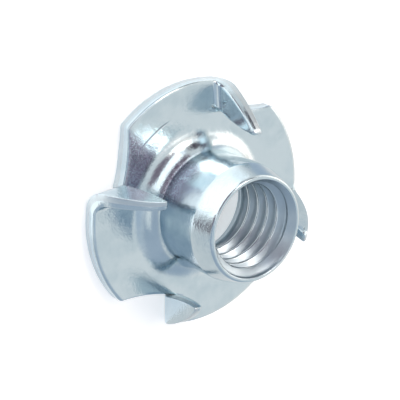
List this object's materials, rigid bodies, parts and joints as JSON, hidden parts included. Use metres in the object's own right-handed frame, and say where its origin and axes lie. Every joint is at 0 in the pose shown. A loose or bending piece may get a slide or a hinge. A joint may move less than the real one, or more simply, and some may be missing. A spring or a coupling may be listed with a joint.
{
  "type": "tee nut",
  "caption": "Pressed steel tee nut: a round flange with prongs folded up beside notches in its rim, and a drawn barrel with a threaded bore and a tapered nose.",
  "frame": {"origin": "centre of the flange's flat back face, on the bore's axis", "axes": "+Z along the bore from the flange's back to the barrel's lip; +X and +Y through the middles of two of the flange's lobes"},
  "size_m": [0.0254, 0.0254, 0.011],
  "materials": {
    "zinc_steel": "bright blue-white zinc plating, satin gloss, slightly mottled"
  },
  "bodies": {
    "root": {"tee_nut": "zinc_steel"}
  },
  "joints": []
}
